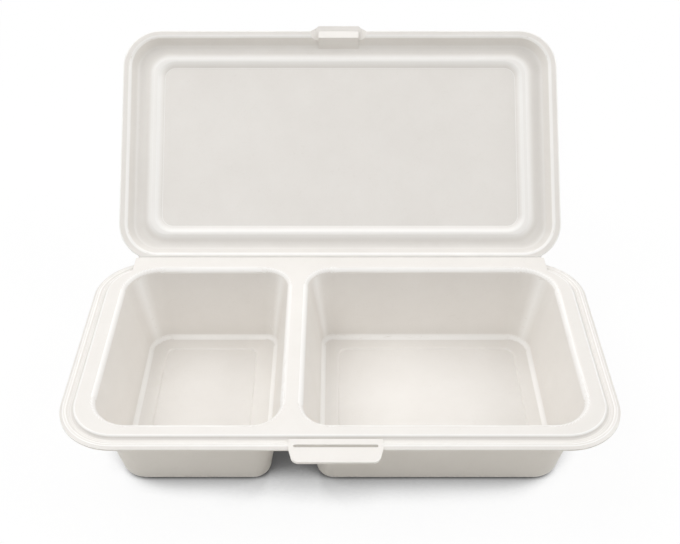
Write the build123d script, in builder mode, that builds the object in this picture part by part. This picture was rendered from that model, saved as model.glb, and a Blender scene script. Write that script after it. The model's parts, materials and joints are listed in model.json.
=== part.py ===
from build123d import *
import os
from math import cos, radians, sin, tan

# Two-compartment meal box moulded from plant fibre: a pocketed base and a lid on a living hinge.
# Millimetres, +Z up, origin on the table under the middle of the rim, front towards -Y.

# Base rim: a beaded lip channel outside, then the raised land that the lid closes on
RIM_WIDTH = 240.0
RIM_DEPTH = 126.0
RIM_RADIUS = 26.0
BASE_HEIGHT = 43.0
BASE_WALL = 1.0
LIP_WIDTH = 6.2
LIP_DROP = 1.75
LIP_STEP_RUN = 1.0
LIP_ROLL = 0.7
BEAD_START = 1.4
BEAD_END = 2.6
BEAD_FOOT = 3.7
BEAD_HEIGHT = 0.65
RIM_ROUNDING = 1.0
RIM_EDGE_ROUNDING = 0.2
LAND_JOIN = 3.0

# Pockets: margins from the rim outline to their upper edges, and the divider between them
SIDE_MARGIN = 14.4
FRONT_MARGIN = 12.9
BACK_MARGIN = 8.4
DIVIDER_CENTRE = -20.8
DIVIDER_WIDTH = 9.4
POCKET_CORNER = 16.0
POCKET_FOOT_CORNER = 11.0
DIVIDER_CORNER = 12.0
DIVIDER_FOOT_CORNER = 6.5
SIDE_DRAFT = 11.0
DIVIDER_DRAFT = 9.5
FRONT_DRAFT = 9.0
BACK_DRAFT = 6.3
POCKET_EDGE_RADIUS = 2.6
POCKET_FOOT_RADIUS = 2.4

# Floor panels, pressed a little deeper than the floor round them: the box stands on these
PANEL_MARGIN = 8.2
LEFT_PANEL_MARGIN = 10.0
PANEL_CORNER = 5.0
PANEL_STEP = 0.7
PANEL_DRAFT = 45.0

# Hinge strip behind the pockets and the crease that the lid turns on
STRIP_MARGIN = 16.1
CREASE_OVERHANG = 1.6
CREASE_GAP = 0.3
CLOSED_GAP = 0.3
LEAN_ANGLE = 45.0

# Lid: flange, shallow recess and a raised frame round a plain panel
LID_WALL = 0.75
LID_SETBACK = 0.6
LID_FRONT_SETBACK = 1.3
LID_RADIUS = 19.5
LID_BACK = -1.5
FLANGE_SIDE = 3.9
FLANGE_FRONT = 3.4
FLANGE_BACK = 2.1
FLANGE_EDGE_RADIUS = 2.0
LID_EDGE_ROUNDING = 0.6
RECESS_CORNER = 16.0
RECESS_DEPTH = 6.0
RECESS_DRAFT = 28.0
RECESS_FOOT_RADIUS = 3.8
FRAME_SIDE_GUTTER = 4.7
FRAME_END_GUTTER = 3.6
FRAME_CORNER = 12.0
FRAME_HEIGHT = 2.0
FRAME_RISE_DRAFT = 62.0
FRAME_SIDE_CREST = 2.2
FRAME_END_CREST = 1.2
FRAME_CREST_CORNER = 9.0
FRAME_FALL_DRAFT = 58.8
FRAME_CREST_RADIUS = 2.1
FRAME_FOOT_RADIUS = 4.8
FRAME_PANEL_RADIUS = 1.0

# Clasp: a slotted tongue on the base and a pressed tab on the lid
CLASP_CENTRE = -1.7
TONGUE_REACH = 7.4
TONGUE_ROOT = 39.0
TONGUE_TAPER = 1.9
TONGUE_CORNER = 3.5
SLOT_END = 2.0
SLOT_WIDTH = 1.5
SLOT_INSET = 0.6
TAB_CENTRE = -0.8
TAB_WIDTH = 21.0
TAB_FLARE = 3.8
TAB_REACH = 3.1
TAB_PROUD = 0.5
TAB_TILT_ANGLE = 25.0
TAB_RAMP = 4.6
TAB_FACE_DRAFT = 34.0
TAB_GROOVE = 1.8
TAB_CHEEK_DRAFT = 50.0
TAB_NOTCH = 1.2
TAB_NOTCH_DEPTH = 4.8
TAB_CORNER = 1.2

# Tools reach this far past the faces that they cut, and faces this near a plane lie in it
OVERRUN = 5.0
LEVEL = 0.01

half_width = RIM_WIDTH / 2
half_depth = RIM_DEPTH / 2
strip_length = RIM_WIDTH - 2 * STRIP_MARGIN
groove_z = BASE_HEIGHT - LIP_DROP
bead_z = groove_z + BEAD_HEIGHT
floor_z = BASE_WALL + PANEL_STEP
pocket_depth = BASE_HEIGHT - floor_z
crease_y = half_depth + CREASE_OVERHANG
crease_z = BASE_HEIGHT + CLOSED_GAP / 2
land_plane = Plane.XY.offset(BASE_HEIGHT)

lid_half_width = half_width - LIP_WIDTH - LID_SETBACK
lid_front = crease_y + half_depth - LIP_WIDTH - LID_FRONT_SETBACK
recess_run = RECESS_DEPTH * tan(radians(RECESS_DRAFT))


def leaning_plane(lean, origin):
    """A plane whose y axis leans back from vertical and whose normal faces up and forwards."""
    return Plane(origin, x_dir=(1, 0, 0), z_dir=(0, -cos(radians(lean)), sin(radians(lean))))


hinge_plane = leaning_plane(LEAN_ANGLE, (0, crease_y, crease_z))
lid_plane = hinge_plane.offset(-CLOSED_GAP / 2)


def grown(span, by):
    """The span (x0, x1, y0, y1) with each side moved outwards."""
    x0, x1, y0, y1 = span
    return (x0 - by, x1 + by, y0 - by, y1 + by)


def outline(plane, span, left_corner, right_corner):
    """A rectangle over the span with one corner radius at its left and one at its right."""
    x0, x1, y0, y1 = span
    with BuildSketch(plane) as shape:
        with Locations(((x0 + x1) / 2, (y0 + y1) / 2)):
            Rectangle(x1 - x0, y1 - y0)
        fillet(shape.vertices().group_by(Axis.X)[0], left_corner)
        fillet(shape.vertices().group_by(Axis.X)[-1], right_corner)
    return shape.sketch


def tub(plane, span, corners, depth, draft, foot_radius=0):
    """A tapered block reaching down from the plane, its foot rounded if a radius is given."""
    with BuildPart() as block:
        extrude(outline(plane, span, *corners), amount=-depth, taper=draft)
        if foot_radius:
            foot = block.faces().filter_by(plane).sort_by(SortBy.AREA)[0]
            fillet(foot.edges(), foot_radius)
    return block.part


def face_in(part, plane, holed):
    """The part's largest face that lies in the plane, of those with holes or of those without."""
    parallel = part.faces().filter_by(plane)
    level = [face for face in parallel if abs(plane.to_local_coords(face.center()).Z) < LEVEL]
    return max((face for face in level if bool(face.inner_wires()) == holed), key=lambda face: face.area)


def hole_edges(face):
    """The edges round the face's holes."""
    return ShapeList(edge for wire in face.inner_wires() for edge in wire.edges())


def pocket_span(side, depth, skin):
    """Span of the pocket on one side (-1 left, 1 right) at a depth under the land."""
    outer = half_width - SIDE_MARGIN - depth * tan(radians(SIDE_DRAFT)) + skin
    inner = side * DIVIDER_CENTRE + DIVIDER_WIDTH / 2 + depth * tan(radians(DIVIDER_DRAFT)) - skin
    front = FRONT_MARGIN - half_depth + depth * tan(radians(FRONT_DRAFT)) - skin
    back = half_depth - BACK_MARGIN - depth * tan(radians(BACK_DRAFT)) + skin
    x0, x1 = sorted((side * outer, side * inner))
    return (x0, x1, front, back)


def pocket(side, skin):
    """The pocket on one side as a solid plug with a rounded foot."""
    foot_plane = Plane.XY.offset(floor_z - skin)
    top_corners = (POCKET_CORNER + skin, DIVIDER_CORNER + skin)[::-side]
    foot_corners = (POCKET_FOOT_CORNER + skin, DIVIDER_FOOT_CORNER + skin)[::-side]
    with BuildPart() as plug:
        top = outline(land_plane, pocket_span(side, 0, skin), *top_corners)
        foot = outline(foot_plane, pocket_span(side, pocket_depth + skin, skin), *foot_corners)
        loft([top.face(), foot.face()], ruled=True)
        fillet(plug.faces().sort_by(Axis.Z)[0].edges(), POCKET_FOOT_RADIUS + skin)
    return plug.part


def floor_panel(side, skin):
    """The shallow plug that presses a panel into the pocket's floor."""
    x0, x1, y0, y1 = grown(
        pocket_span(side, pocket_depth, 0), skin * tan(radians(PANEL_DRAFT / 2)) - PANEL_MARGIN
    )
    if side < 0:
        x1 += PANEL_MARGIN - LEFT_PANEL_MARGIN
    floor_plane = Plane.XY.offset(floor_z - skin)
    return tub(floor_plane, (x0, x1, y0, y1), (PANEL_CORNER, PANEL_CORNER), PANEL_STEP, PANEL_DRAFT)


def base_form(skin):
    """The land and pockets as a solid block, its moulded face sunk by the skin thickness."""
    plane = land_plane.offset(-skin)
    join = LIP_WIDTH + LAND_JOIN / 2 - skin
    land = grown((-half_width, half_width, -half_depth, half_depth), -join)
    corner = RIM_RADIUS - join
    past = OVERRUN if skin else 0
    strip_end = crease_y - CREASE_GAP / 2 + past
    with BuildPart() as form:
        extrude(outline(plane, land, corner, corner), amount=-BASE_HEIGHT - OVERRUN)
        with BuildSketch(plane):
            with Locations((0, strip_end / 2)):
                Rectangle(strip_length - 2 * skin, strip_end)
        extrude(amount=-LIP_DROP - BASE_WALL + skin - past)
        for side in (-1, 1):
            add(pocket(side, skin), mode=Mode.SUBTRACT)
            add(floor_panel(side, skin), mode=Mode.SUBTRACT)
        fillet(hole_edges(face_in(form.part, plane, holed=True)), POCKET_EDGE_RADIUS - skin)
    return form.part


def rim_section(plane):
    """Section of the rim from its outer edge inwards: bead, channel, step and land."""
    under = -LIP_DROP - BASE_WALL
    bead = BEAD_HEIGHT - LIP_DROP
    step = LIP_WIDTH - LIP_STEP_RUN
    with BuildSketch(plane) as section:
        with BuildLine():
            FilletPolyline(
                (0, under),
                (0, bead - LIP_ROLL),
                (BEAD_START, bead),
                (BEAD_END, bead),
                (BEAD_FOOT, -LIP_DROP),
                (step, -LIP_DROP),
                (LIP_WIDTH, 0),
                (LIP_WIDTH + LAND_JOIN, 0),
                (LIP_WIDTH + LAND_JOIN, -BASE_WALL),
                (LIP_WIDTH + BASE_WALL, -BASE_WALL),
                (step + BASE_WALL, under),
                radius=[RIM_EDGE_ROUNDING] * 2 + [RIM_ROUNDING] * 5 + [RIM_EDGE_ROUNDING] * 4,
                close=True,
            )
        make_face()
    return section.sketch


# Rim, swept round the sides and front and cut off at the hinge strip
with BuildPart() as rim:
    with BuildLine(land_plane) as rim_path:
        FilletPolyline(
            (-half_width + RIM_RADIUS + OVERRUN, half_depth),
            (-half_width, half_depth),
            (-half_width, -half_depth),
            (half_width, -half_depth),
            (half_width, half_depth),
            (half_width - RIM_RADIUS - OVERRUN, half_depth),
            radius=RIM_RADIUS,
        )
    start = Plane(rim_path.line @ 0, x_dir=(0, -1, 0), z_dir=(-1, 0, 0))
    sweep(rim_section(start), path=rim_path.line)
    with BuildSketch(Plane.XY):
        with Locations((0, half_depth)):
            Rectangle(strip_length - BASE_WALL, 2 * RIM_RADIUS)
    extrude(amount=2 * BASE_HEIGHT, mode=Mode.SUBTRACT)

# Base: pocket shell, rim, and the tongue with its slot
with BuildPart() as base_tray:
    add(base_form(0))
    add(base_form(BASE_WALL), mode=Mode.SUBTRACT)
    add(rim.part)
    with BuildSketch(Plane.XY.offset(bead_z)) as tongue:
        with BuildLine():
            Polyline(
                (CLASP_CENTRE - TONGUE_ROOT / 2, LIP_WIDTH - LIP_STEP_RUN - half_depth),
                (CLASP_CENTRE - TONGUE_ROOT / 2, -half_depth),
                (CLASP_CENTRE - TONGUE_ROOT / 2 + TONGUE_TAPER, -half_depth - TONGUE_REACH),
                (CLASP_CENTRE + TONGUE_ROOT / 2 - TONGUE_TAPER, -half_depth - TONGUE_REACH),
                (CLASP_CENTRE + TONGUE_ROOT / 2, -half_depth),
                (CLASP_CENTRE + TONGUE_ROOT / 2, LIP_WIDTH - LIP_STEP_RUN - half_depth),
                close=True,
            )
        make_face()
        fillet(tongue.vertices().group_by(Axis.Y)[0], TONGUE_CORNER)
    extrude(amount=-BASE_WALL)
    with BuildSketch(Plane.XY.offset(bead_z)):
        with Locations((CLASP_CENTRE, SLOT_INSET + SLOT_WIDTH / 2 - half_depth)):
            SlotOverall(TONGUE_ROOT - 2 * SLOT_END, SLOT_WIDTH)
    extrude(amount=OVERRUN, both=True, mode=Mode.SUBTRACT)
base_tray.part.label = "base_tray"

# Lid recess span, in the lid's own plane: x along the crease, y away from it
lid_span = (-lid_half_width, lid_half_width, LID_BACK, lid_front)
recess_span = (
    FLANGE_SIDE - lid_half_width,
    lid_half_width - FLANGE_SIDE,
    FLANGE_BACK,
    lid_front - FLANGE_FRONT,
)
frame_span = (
    recess_span[0] + recess_run + FRAME_SIDE_GUTTER,
    recess_span[1] - recess_run - FRAME_SIDE_GUTTER,
    recess_span[2] + recess_run + FRAME_END_GUTTER,
    recess_span[3] - recess_run - FRAME_END_GUTTER,
)
frame_rise = FRAME_HEIGHT * tan(radians(FRAME_RISE_DRAFT))
crest_span = (
    frame_span[0] + frame_rise + FRAME_SIDE_CREST,
    frame_span[1] - frame_rise - FRAME_SIDE_CREST,
    frame_span[2] + frame_rise + FRAME_END_CREST,
    frame_span[3] - frame_rise - FRAME_END_CREST,
)


def lid_frame(skin):
    """The low frame that stands on the recess floor round the panel."""
    foot = lid_plane.offset(-RECESS_DEPTH - skin)
    crest = foot.offset(FRAME_HEIGHT)
    corners = (FRAME_CREST_CORNER, FRAME_CREST_CORNER)
    with BuildPart() as frame:
        extrude(
            outline(foot, frame_span, FRAME_CORNER, FRAME_CORNER),
            amount=FRAME_HEIGHT,
            taper=FRAME_RISE_DRAFT,
        )
        add(tub(crest, crest_span, corners, FRAME_HEIGHT, FRAME_FALL_DRAFT), mode=Mode.SUBTRACT)
        top = frame.faces().filter_by(crest).sort_by(Axis(crest.origin, crest.z_dir))[-1]
        fillet(top.edges(), FRAME_CREST_RADIUS)
    return frame.part


def tab_hollow(skin):
    """Plugs that sink the flange behind the tab and set back the recess wall beside it."""
    half_hollow = TAB_WIDTH / 2 + TAB_GROOVE
    end_plane = lid_plane.offset(-tab_sink - skin)
    left, right = TAB_CENTRE - half_hollow, TAB_CENTRE + half_hollow
    end = grown((left, right, 2 * tab_root - lid_front, lid_front + 2 * OVERRUN), skin)
    notch = grown((left, right, tab_root - RECESS_DEPTH, tab_root + TAB_NOTCH), skin)
    with BuildPart() as plugs:
        extrude(outline(end_plane, end, TAB_CORNER, TAB_CORNER), amount=OVERRUN, taper=-TAB_CHEEK_DRAFT)
        add(tub(lid_plane, notch, (TAB_CORNER, TAB_CORNER), TAB_NOTCH_DEPTH, RECESS_DRAFT))
    return plugs.part


def tab_block(skin):
    """The tab itself: a ramp that sinks towards the lid's edge over a face that slopes to the floor."""
    depth = RECESS_DEPTH + OVERRUN / 2
    half_angle = radians(TAB_TILT_ANGLE + 90 - TAB_FACE_DRAFT) / 2
    bisector = radians(TAB_TILT_ANGLE - 90 + TAB_FACE_DRAFT) / 2
    sunk = skin / cos(half_angle)
    corner = (TAB_CENTRE, tab_crest - sunk * sin(bisector), -sunk * cos(bisector))
    origin = lid_plane.from_local_coords(corner)
    with BuildPart() as block:
        with BuildSketch(Plane(origin, x_dir=lid_plane.y_dir, z_dir=lid_plane.x_dir)):
            with BuildLine():
                Polyline(
                    (0, 0),
                    (TAB_RAMP * cos(radians(TAB_TILT_ANGLE)), -tab_sink),
                    (TAB_RAMP * cos(radians(TAB_TILT_ANGLE)), -depth),
                    (-depth * tan(radians(TAB_FACE_DRAFT)), -depth),
                    close=True,
                )
            make_face()
        extrude(amount=TAB_WIDTH / 2 - skin, both=True)
    return block.part


def lid_form(skin):
    """The lid as a solid block behind its inner face, that face sunk by the skin thickness."""
    plane = lid_plane.offset(-skin)
    spread = skin / cos(radians(RECESS_DRAFT))
    past = OVERRUN if skin else 0
    radii = (RECESS_CORNER + spread, RECESS_CORNER + spread)
    depth = RECESS_DEPTH + skin
    recess = grown(recess_span, spread)
    with BuildPart() as form:
        with BuildSketch(plane):
            add(outline(Plane.XY, grown(lid_span, past), LID_RADIUS + past, LID_RADIUS + past))
            with Locations((0, CREASE_GAP / 2 - past)):
                Rectangle(RIM_WIDTH, RIM_DEPTH, align=(Align.CENTER, Align.MAX), mode=Mode.SUBTRACT)
            with BuildLine():
                Polyline(
                    (TAB_CENTRE - tab_shoulder, lid_front - FLANGE_FRONT),
                    (TAB_CENTRE - tab_shoulder, lid_front),
                    (TAB_CENTRE - TAB_WIDTH / 2, lid_front + TAB_REACH),
                    (TAB_CENTRE + TAB_WIDTH / 2, lid_front + TAB_REACH),
                    (TAB_CENTRE + tab_shoulder, lid_front),
                    (TAB_CENTRE + tab_shoulder, lid_front - FLANGE_FRONT),
                    close=True,
                )
            make_face()
        extrude(amount=-RECESS_DEPTH - OVERRUN - past)
        add(
            tub(lid_plane, recess, radii, depth, RECESS_DRAFT, RECESS_FOOT_RADIUS + skin),
            mode=Mode.SUBTRACT,
        )
        fillet(hole_edges(face_in(form.part, plane, holed=True)), FLANGE_EDGE_RADIUS - skin)
        if not skin:
            fillet(face_in(form.part, plane, holed=True).outer_wire().edges(), LID_EDGE_ROUNDING)
        add(lid_frame(skin))
        fillet(hole_edges(face_in(form.part, plane.offset(-RECESS_DEPTH), holed=True)), FRAME_FOOT_RADIUS)
        panel = face_in(form.part, plane.offset(-RECESS_DEPTH), holed=False)
        fillet(panel.outer_wire().edges(), FRAME_PANEL_RADIUS)
        add(tab_hollow(skin), mode=Mode.SUBTRACT)
        add(tab_block(skin))
    return form.part


# Tab: its crest stands just inside the flange, and its end sinks behind it
tab_shoulder = TAB_WIDTH / 2 + TAB_FLARE
tab_root = lid_front - FLANGE_FRONT
tab_crest = tab_root - TAB_PROUD
tab_sink = TAB_RAMP * sin(radians(TAB_TILT_ANGLE))

# Lid: recess shell with the tab pressed into its front flange
with BuildPart() as lid:
    add(lid_form(0))
    add(lid_form(LID_WALL), mode=Mode.SUBTRACT)
lid.part.label = "lid"

os.makedirs("parts", exist_ok=True)
for piece in (base_tray.part, lid.part):
    export_step(piece, f"parts/{piece.label}.step")
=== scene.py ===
import json
from math import cos, radians, sin

import bmesh
import bpy
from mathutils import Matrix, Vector


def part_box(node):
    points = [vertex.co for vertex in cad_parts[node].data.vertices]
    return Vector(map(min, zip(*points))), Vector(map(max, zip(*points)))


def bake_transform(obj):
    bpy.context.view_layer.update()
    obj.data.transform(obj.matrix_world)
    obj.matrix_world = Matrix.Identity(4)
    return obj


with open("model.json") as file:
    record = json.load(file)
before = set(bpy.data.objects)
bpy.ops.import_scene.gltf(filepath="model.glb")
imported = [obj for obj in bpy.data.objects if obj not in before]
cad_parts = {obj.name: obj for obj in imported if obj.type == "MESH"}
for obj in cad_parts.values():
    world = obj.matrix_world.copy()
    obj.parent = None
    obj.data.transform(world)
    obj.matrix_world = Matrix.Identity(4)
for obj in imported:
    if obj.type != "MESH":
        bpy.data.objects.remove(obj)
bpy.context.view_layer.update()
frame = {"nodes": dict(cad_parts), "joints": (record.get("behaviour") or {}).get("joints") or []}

# Pressed plant-fibre meal box, lit by soft studio lamps on a white floor. Metres throughout.
MM = 0.001
WHITE = (1, 1, 1, 1)

# Camera: the photograph's frame, its focal length in pixels, and where it looks from
PHOTO_WIDTH = 680
FOCAL_PIXELS = 985
SENSOR_WIDTH = 36.0
CAMERA_PITCH = 38.0
CAMERA_PLACE = (0.0, -0.3356, 0.3463)

# Hinge web: a thin crease of the same sheet that joins the base's strip to the lid
LID_LEAN = 45.0
WEB_INSET = 10.5 * MM
WEB_THICKNESS = 0.3 * MM
WEB_SINK = 0.55 * MM
WEB_BITE = 0.6 * MM
WEB_STATIONS = 90
WEB_ACROSS = 8

# Pulp tones: plain, in fibres, painted highlight on edges, the lid frame's crest, pocket corners and
# feet, painted shade in the base's tight creases and painted shade in crevices
PULP_LIGHT = (0.858, 0.83, 0.793, 1)
PULP_DARK = (0.828, 0.798, 0.759, 1)
PULP_FIBRE = (0.76, 0.725, 0.675, 1)
PULP_PAINTED_HIGHLIGHT = (0.965, 0.95, 0.925, 1)
PULP_PAINTED_CREASE_SHADE = (0.83, 0.80, 0.76, 1)
PULP_PAINTED_SHADE = (0.60, 0.57, 0.53, 1)

# Pulp surface: each noise has its scale, detail and sometimes roughness
CLOUD_NOISE = (38.0, 5.0, 0.62)
SHEEN_NOISE = (160.0, 4.0)
WAVE_NOISE = (110.0, 3.0)
GRAIN_NOISE = (1400.0, 3.0, 0.6)
NOISE_MIDDLE = 0.5
NOISE_RANGE = (0.3, 0.7)
SHEEN_ROUGHNESS = (0.34, 0.42)
WAVE_HEIGHT = 0.02 * MM
STRAND_HEIGHT = 0.006 * MM
GRAIN_HEIGHT = 0.003 * MM

# Fibres: two sizes of curly strand, and the gaps along them, which are larger than the strands' curls
FIBRE_SCALES = (190.0, 330.0)
FIBRE_SHARE = 0.3
STRAND_DETAIL = 1.0
STRAND_ROUGHNESS = 0.5
STRAND_CURL = 2.5
STRAND_WIDTH = 0.02
GAP_SCALE = 0.7
GAP_DETAIL = 2.0
GAP_RANGE = (0.45, 0.6)

# Bends: radii from which a tone begins and at which it is full: painted highlight on edges and feet, and
# in tight creases painted highlight on the lid and painted shade on the base
RELIEF = "relief"
EDGE_RADII = (5.5 * MM, 2.8 * MM)
FOOT_RADII = (5.5 * MM, 3.6 * MM)
CREASE_RADII = (1.7 * MM, 1.15 * MM)

# Pocket corners: their radius, the strength and width of their painted highlight stripe, and how upright
# they are
CORNER_RADIUS = 18 * MM
CORNER_SHARE = 0.85
CORNER_SKEW = 0.45
CORNER_SLOPES = (0.5, 0.3)

# Crevices: painted shade, from how far a surface looks for others beside it
CREVICE_REACH = 10 * MM
CREVICE_SHARE = 0.5
CREVICE_SAMPLES = 6

# Lid frame: heights against the lid's rim between which its crest gets a painted highlight
FRAME_FOOT = -5.9 * MM
FRAME_CREST = -4.6 * MM
FRAME_ABOVE = -3.0 * MM
FRAME_FLATNESS = (0.7, 0.84)

# Floor and world: the floor's shadow is painted into its glow from how open the floor is
FLOOR_SIZE = 8.0
FLOOR_COLOUR = (0.8, 0.78, 0.73, 1)
FLOOR_GLOW = 0.93
FLOOR_FADE = (0.25, 0.55)
FLOOR_SAMPLES = 32
CONTACT_REACH = 28 * MM
CONTACT_RANGE = (0.0, 0.55)
CONTACT_SHADE = 0.0
UNDER_REACH = 55 * MM
UNDER_RANGE = (0.21, 0.46)
UNDER_SHADE = 0.12
WORLD_FILL = 0.2

# Lamps: name, bearing clockwise from the back, height angle, power in watts
LAMPS = (
    ("back", 0, 52, 3.3),
    ("right", 90, 42, 4.7),
    ("front", 190, 42, 3.5),
    ("left", 270, 56, 4.4),
    ("back_left", 315, 42, 1.4),
    ("low_right", 90, 20, 1.2),
    ("low_left", 270, 20, 1.6),
)
LAMP_AIM = Vector((0, 0.03, 0.04))
LAMP_DISTANCE = 1.2
LAMP_SIZE = 0.7

# Sockets of the mix node that carry colour, and vector operations that give a number
MIX_INPUTS = (0, 6, 7)
MIX_OUTPUT = 2
NUMBER_RESULTS = ("DOT_PRODUCT", "LENGTH")


def link(obj):
    """Puts a new object into the scene."""
    bpy.context.scene.collection.objects.link(obj)
    return obj


class Graph:
    """A tree of shader or geometry nodes, with short calls for adding and wiring them."""

    def __init__(self, tree):
        self.tree = tree
        tree.nodes.clear()

    def add(self, kind, settings=(), **sockets):
        node = self.tree.nodes.new(kind)
        for name, value in dict(settings).items():
            setattr(node, name, value)
        for name, value in sockets.items():
            self.feed(node.inputs[name.replace("_", " ")], value)
        return node

    def feed(self, socket, value):
        if isinstance(value, bpy.types.NodeSocket):
            self.tree.links.new(value, socket)
        else:
            socket.default_value = value

    def feed_in_order(self, node, values):
        for socket, value in zip(node.inputs, values):
            self.feed(socket, value)

    def math(self, operation, *values):
        node = self.add("ShaderNodeMath", {"operation": operation})
        self.feed_in_order(node, values)
        return node.outputs[0]

    def vector(self, operation, *values):
        node = self.add("ShaderNodeVectorMath", {"operation": operation})
        self.feed_in_order(node, values)
        return node.outputs["Value" if operation in NUMBER_RESULTS else "Vector"]

    def noise(self, place, scale, detail, roughness=0.5, distortion=0.0):
        node = self.add(
            "ShaderNodeTexNoise",
            Vector=place, Scale=scale, Detail=detail, Roughness=roughness, Distortion=distortion,
        )
        return node.outputs["Fac"]

    def spread(self, value, start, end, low=0.0, high=1.0):
        node = self.add(
            "ShaderNodeMapRange",
            Value=value, From_Min=start, From_Max=end, To_Min=low, To_Max=high,
        )
        return node.outputs["Result"]

    def openness(self, reach, **settings):
        node = self.add("ShaderNodeAmbientOcclusion", settings, Distance=reach)
        return node.outputs["AO"]

    def blend(self, factor, first, second):
        node = self.add("ShaderNodeMix", {"data_type": "RGBA"})
        for index, value in zip(MIX_INPUTS, (factor, first, second)):
            self.feed(node.inputs[index], value)
        return node.outputs[MIX_OUTPUT]

    def mix_shader(self, factor, first, second):
        node = self.add("ShaderNodeMixShader")
        self.feed_in_order(node, (factor, first.outputs[0], second.outputs[0]))
        return node

    def bump(self, height, distance, below=None):
        node = self.add("ShaderNodeBump", Height=height, Distance=distance, Strength=1.0)
        if below:
            self.feed(node.inputs["Normal"], below)
        return node.outputs["Normal"]


def shader_graph(owner):
    """The emptied node tree of a material or world."""
    owner.use_nodes = True
    return Graph(owner.node_tree)


def crease_place():
    """Where the lid's hinge runs."""
    return Vector(frame["joints"][0]["pos_m"])


def corner_values(graph, field):
    """A field's values at the three corners of each face."""
    found = []
    for turn in range(3):
        corner = graph.add("GeometryNodeCornersOfFace", Sort_Index=turn).outputs["Corner Index"]
        settings = {"data_type": "FLOAT_VECTOR", "domain": "CORNER"}
        node = graph.add("GeometryNodeFieldAtIndex", settings, Index=corner, Value=field)
        found.append(node.outputs[0])
    return found


def relief_nodes():
    """Geometry nodes that store how sharply each face bends: above 0 on edges, below 0 in hollows."""
    tree = bpy.data.node_groups.new(RELIEF, "GeometryNodeTree")
    tree.interface.new_socket("Geometry", in_out="INPUT", socket_type="NodeSocketGeometry")
    tree.interface.new_socket("Geometry", in_out="OUTPUT", socket_type="NodeSocketGeometry")
    graph = Graph(tree)
    places = corner_values(graph, graph.add("GeometryNodeInputPosition").outputs[0])
    normals = corner_values(graph, graph.add("GeometryNodeInputNormal").outputs["Normal"])
    sides = [graph.vector("SUBTRACT", there, places[0]) for there in places[1:]]
    turns = [graph.vector("SUBTRACT", there, normals[0]) for there in normals[1:]]
    face = graph.vector("CROSS_PRODUCT", *sides)
    first = graph.vector("DOT_PRODUCT", turns[0], graph.vector("CROSS_PRODUCT", sides[1], face))
    second = graph.vector("DOT_PRODUCT", turns[1], graph.vector("CROSS_PRODUCT", face, sides[0]))
    bend = graph.math("DIVIDE", graph.math("ADD", first, second), graph.vector("DOT_PRODUCT", face, face))
    source = graph.add("NodeGroupInput").outputs[0]
    settings = {"data_type": "FLOAT", "domain": "FACE"}
    store = graph.add(
        "GeometryNodeStoreNamedAttribute", settings, Geometry=source, Name=RELIEF, Value=bend
    )
    graph.feed(graph.add("NodeGroupOutput").inputs[0], store.outputs[0])
    return tree


def fibre_lines(graph, place, scale):
    """Thin curly strands, broken up along their length: 1 on a strand and 0 beside it."""
    swirl = graph.noise(place, scale, STRAND_DETAIL, STRAND_ROUGHNESS, STRAND_CURL)
    off_middle = graph.math("ABSOLUTE", graph.math("SUBTRACT", swirl, NOISE_MIDDLE))
    strand = graph.spread(off_middle, 0.0, STRAND_WIDTH, 1.0, 0.0)
    gaps = graph.spread(graph.noise(place, scale * GAP_SCALE, GAP_DETAIL), *GAP_RANGE)
    return graph.math("MULTIPLY", strand, gaps)


def edge_bends(graph, bend, radii):
    """Rounded edges: 0 at the first radius and 1 at the second."""
    return graph.spread(bend, *(1 / radius for radius in radii))


def hollow_bends(graph, bend, radii):
    """Rounded hollows: 0 at the first radius and 1 at the second."""
    return graph.spread(bend, *(-1 / radius for radius in radii))


def painted_corner_highlight(graph, normal, bend):
    """Painted highlight: upright light stripes down the middle of the pockets' rounded corners."""
    parts = graph.add("ShaderNodeSeparateXYZ", Vector=graph.vector("ABSOLUTE", normal)).outputs
    skew = graph.math("ABSOLUTE", graph.math("SUBTRACT", parts["X"], parts["Y"]))
    stripe = graph.spread(skew, 0.0, CORNER_SKEW, CORNER_SHARE, 0.0)
    upright = graph.spread(parts["Z"], *CORNER_SLOPES)
    hollow = graph.spread(bend, 0.0, -1 / CORNER_RADIUS)
    return graph.math("MULTIPLY", stripe, graph.math("MULTIPLY", upright, hollow))


def painted_frame_highlight(graph, place, normal):
    """Painted highlight on the crest of the raised frame round the lid's panel."""
    lean = radians(LID_LEAN)
    facing = Vector((0, -cos(lean), sin(lean)))
    height = graph.vector("DOT_PRODUCT", graph.vector("SUBTRACT", place, crease_place()), facing)
    raised = graph.spread(height, FRAME_FOOT, FRAME_CREST)
    below_rim = graph.spread(height, FRAME_ABOVE, FRAME_CREST)
    flat = graph.spread(graph.vector("DOT_PRODUCT", normal, facing), *FRAME_FLATNESS)
    return graph.math("MULTIPLY", raised, graph.math("MULTIPLY", below_rim, flat))


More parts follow.
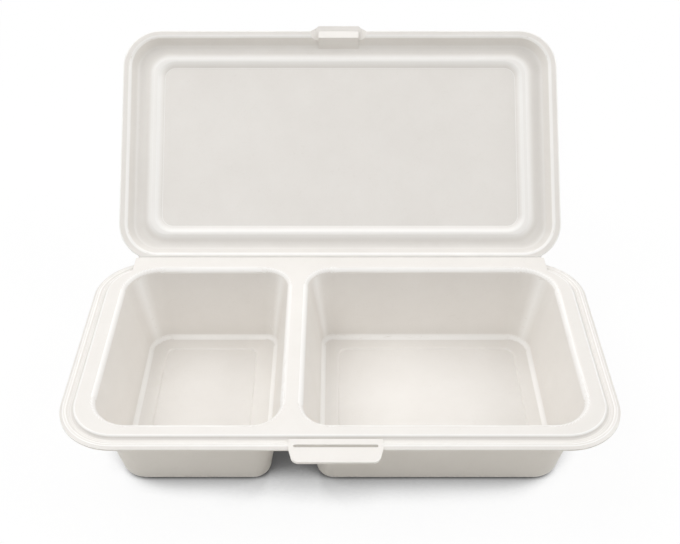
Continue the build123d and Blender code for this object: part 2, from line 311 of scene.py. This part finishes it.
def pulp_colour(graph, place, fibres, on_lid):
    """Cloudy warm white with faint fibres, with painted highlights on edges, the lid frame's crest,
    pocket corners, feet and the lid's tight creases, and painted shade in the base's tight creases and in
    crevices.
    """
    clouds = graph.spread(graph.noise(place, *CLOUD_NOISE), *NOISE_RANGE)
    colour = graph.blend(clouds, PULP_LIGHT, PULP_DARK)
    colour = graph.blend(graph.math("MULTIPLY", fibres, FIBRE_SHARE), colour, PULP_FIBRE)
    bend = graph.add("ShaderNodeAttribute", {"attribute_name": RELIEF}).outputs["Fac"]
    normal = graph.add("ShaderNodeTexCoord").outputs["Normal"]
    # Painted highlight: rounded edges are coloured lighter.
    painted_highlight = edge_bends(graph, bend, EDGE_RADII)
    crease = hollow_bends(graph, bend, CREASE_RADII)
    if on_lid:
        # On the lid, tight creases get a painted highlight.
        painted_highlight_marks = [painted_frame_highlight(graph, place, normal), crease]
    else:
        # Painted highlight along the hollow feet of the pocket walls, left out in tight creases.
        painted_foot_highlight = graph.math("SUBTRACT", hollow_bends(graph, bend, FOOT_RADII), crease)
        # Painted highlights in the base's pocket corners and feet.
        painted_highlight_marks = [painted_corner_highlight(graph, normal, bend), painted_foot_highlight]
        # Painted shade: the base's tight creases are coloured darker.
        colour = graph.blend(crease, colour, PULP_PAINTED_CREASE_SHADE)
    # Painted highlight: edges and the marks above take the light tone.
    for mark in painted_highlight_marks:
        painted_highlight = graph.math("MAXIMUM", painted_highlight, mark)
    colour = graph.blend(painted_highlight, colour, PULP_PAINTED_HIGHLIGHT)
    # Painted shade: darker where other surfaces lie within reach.
    crevice = graph.openness(CREVICE_REACH, samples=CREVICE_SAMPLES, only_local=True)
    shaded = graph.spread(crevice, 1.0, 0.0, 0.0, CREVICE_SHARE)
    return graph.blend(shaded, colour, PULP_PAINTED_SHADE)


def pulp_material(name, on_lid):
    """Satin moulded fibre: cloudy warm white, fine fibres, a soft sheen from varying roughness, and
    painted highlights and shade in its colour.
    """
    material = bpy.data.materials.new(name)
    graph = shader_graph(material)
    place = graph.add("ShaderNodeTexCoord").outputs["Object"]
    fibres = graph.math("MAXIMUM", *(fibre_lines(graph, place, scale) for scale in FIBRE_SCALES))
    colour = pulp_colour(graph, place, fibres, on_lid)
    roughness = graph.spread(graph.noise(place, *SHEEN_NOISE), *NOISE_RANGE, *SHEEN_ROUGHNESS)
    waves = graph.bump(graph.noise(place, *WAVE_NOISE), WAVE_HEIGHT)
    strands = graph.bump(fibres, STRAND_HEIGHT, waves)
    grain = graph.bump(graph.noise(place, *GRAIN_NOISE), GRAIN_HEIGHT, strands)
    shader = graph.add("ShaderNodeBsdfPrincipled", Base_Color=colour, Roughness=roughness, Normal=grain)
    graph.add("ShaderNodeOutputMaterial", Surface=shader.outputs["BSDF"])
    return material


def painted_floor_shadow(graph, reach, limits, darkest):
    """Painted shadow from how open the floor is to what lies within reach: darkest under the object and 1
    away from it.
    """
    return graph.spread(graph.openness(reach, samples=FLOOR_SAMPLES), *limits, darkest, 1.0)


def floor_material():
    """White paper to the camera, whose glow carries the object's painted shadow, darkest under the
    object; near it a small share is lit by the lamps.
    """
    material = bpy.data.materials.new("floor_white")
    graph = shader_graph(material)
    path = graph.add("ShaderNodeLightPath").outputs
    mirrored = graph.math("MAXIMUM", path["Is Glossy Ray"], path["Is Transmission Ray"])
    plain = graph.blend(mirrored, FLOOR_COLOUR, WHITE)
    # Painted shadow: the glow is darkened where the floor is hemmed in by the object.
    painted_contact_shadow = painted_floor_shadow(graph, CONTACT_REACH, CONTACT_RANGE, CONTACT_SHADE)
    under = painted_floor_shadow(graph, UNDER_REACH, UNDER_RANGE, UNDER_SHADE)
    painted_shadow_glow = graph.add("ShaderNodeEmission", Color=graph.math("MULTIPLY", painted_contact_shadow, under))
    lit = graph.add("ShaderNodeBsdfDiffuse", Color=WHITE)
    away = graph.vector("LENGTH", graph.add("ShaderNodeTexCoord").outputs["Object"])
    seen = graph.mix_shader(graph.spread(away, *FLOOR_FADE, FLOOR_GLOW, 1.0), lit, painted_shadow_glow)
    paper = graph.add("ShaderNodeBsdfDiffuse", Color=plain)
    floor = graph.mix_shader(path["Is Camera Ray"], paper, seen)
    graph.add("ShaderNodeOutputMaterial", Surface=floor.outputs[0])
    return material


def make_floor():
    """A wide plain floor under the object."""
    mesh = bpy.data.meshes.new("floor")
    half = FLOOR_SIZE / 2
    corners = [(-half, -half, 0), (half, -half, 0), (half, half, 0), (-half, half, 0)]
    mesh.from_pydata(corners, [], [(0, 1, 2, 3)])
    mesh.materials.append(floor_material())
    floor = link(bpy.data.objects.new("floor", mesh))


def make_world():
    """Even fill light, white to the camera."""
    world = bpy.data.worlds.new("studio")
    bpy.context.scene.world = world
    graph = shader_graph(world)
    path = graph.add("ShaderNodeLightPath").outputs
    fill = graph.add("ShaderNodeBackground", Color=WHITE, Strength=WORLD_FILL)
    white = graph.add("ShaderNodeBackground", Color=WHITE, Strength=1.0)
    light = graph.mix_shader(path["Is Camera Ray"], fill, white)
    graph.add("ShaderNodeOutputWorld", Surface=light.outputs[0])


def make_lamps():
    """Soft boxes in a ring, each turned to the object."""
    for name, bearing, height, power in LAMPS:
        data = bpy.data.lights.new(name, "AREA")
        data.size = LAMP_SIZE
        data.energy = power
        level = cos(radians(height))
        way = Vector((sin(radians(bearing)) * level, cos(radians(bearing)) * level, sin(radians(height))))
        lamp = link(bpy.data.objects.new(name, data))
        lamp.location = LAMP_AIM + way * LAMP_DISTANCE
        lamp.rotation_euler = (-way).to_track_quat("-Z", "Y").to_euler()


def make_camera():
    """The photograph's view."""
    data = bpy.data.cameras.new("camera")
    data.sensor_width = SENSOR_WIDTH
    data.lens = FOCAL_PIXELS * SENSOR_WIDTH / PHOTO_WIDTH
    camera = link(bpy.data.objects.new("camera", data))
    camera.location = CAMERA_PLACE
    camera.rotation_euler = (radians(90 - CAMERA_PITCH), 0, 0)
    bpy.context.scene.camera = camera


def web_profile(crease):
    """Middle line of the hinge web, from inside the base's strip round to inside the lid's edge."""
    lean = radians(LID_LEAN)
    strip = Vector((0, -1, 0))
    panel = Vector((0, sin(lean), cos(lean)))
    under_strip = Vector((0, 0, -1))
    under_panel = Vector((0, cos(lean), -sin(lean)))
    points = []
    for step in range(WEB_ACROSS + 1):
        share = step / WEB_ACROSS
        reach = abs(2 * share - 1) * WEB_BITE
        along = (strip if share < 0.5 else panel) * reach
        under = under_strip.slerp(under_panel, share) * WEB_SINK
        points.append((crease + along + under, under.normalized()))
    return points


def web_mesh(crease, half):
    """The web as a closed thin sheet along the crease."""
    profile = web_profile(crease)
    upper = [point - normal * WEB_THICKNESS / 2 for point, normal in profile]
    lower = [point + normal * WEB_THICKNESS / 2 for point, normal in profile]
    loop = upper + lower[::-1]
    form = bmesh.new()
    rows = []
    for station in range(WEB_STATIONS + 1):
        x = half * (2 * station / WEB_STATIONS - 1)
        rows.append([form.verts.new((x, point.y, point.z)) for point in loop])
    for first, second in zip(rows, rows[1:]):
        for i in range(len(loop)):
            j = (i + 1) % len(loop)
            form.faces.new((first[i], first[j], second[j], second[i]))
    form.faces.new(rows[0][::-1])
    form.faces.new(rows[-1])
    bmesh.ops.recalc_face_normals(form, faces=form.faces)
    mesh = bpy.data.meshes.new("hinge_web")
    form.to_mesh(mesh)
    form.free()
    mesh.polygons.foreach_set("use_smooth", [True] * len(mesh.polygons))
    return mesh


def make_web():
    """The living hinge: a thin curved web along the crease, shaped for the lid's lean."""
    crease = crease_place()
    mesh = web_mesh(crease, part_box("lid")[1].x - WEB_INSET)
    mesh.materials.append(pulp_material("hinge_pulp", on_lid=False))
    web = link(bpy.data.objects.new("hinge_web", mesh))
    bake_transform(web)


def dress_nodes():
    """Gives the CAD solids their finish and the relief that it reads."""
    relief = relief_nodes()
    for name in ("base_tray", "lid"):
        node = frame["nodes"][name]
        node.data.materials.clear()
        node.data.materials.append(pulp_material(name + "_pulp", on_lid=name == "lid"))
        node.modifiers.new(RELIEF, "NODES").node_group = relief


bpy.context.scene.view_settings.view_transform = "Standard"
dress_nodes()
make_web()
make_floor()
make_world()
make_lamps()
make_camera()
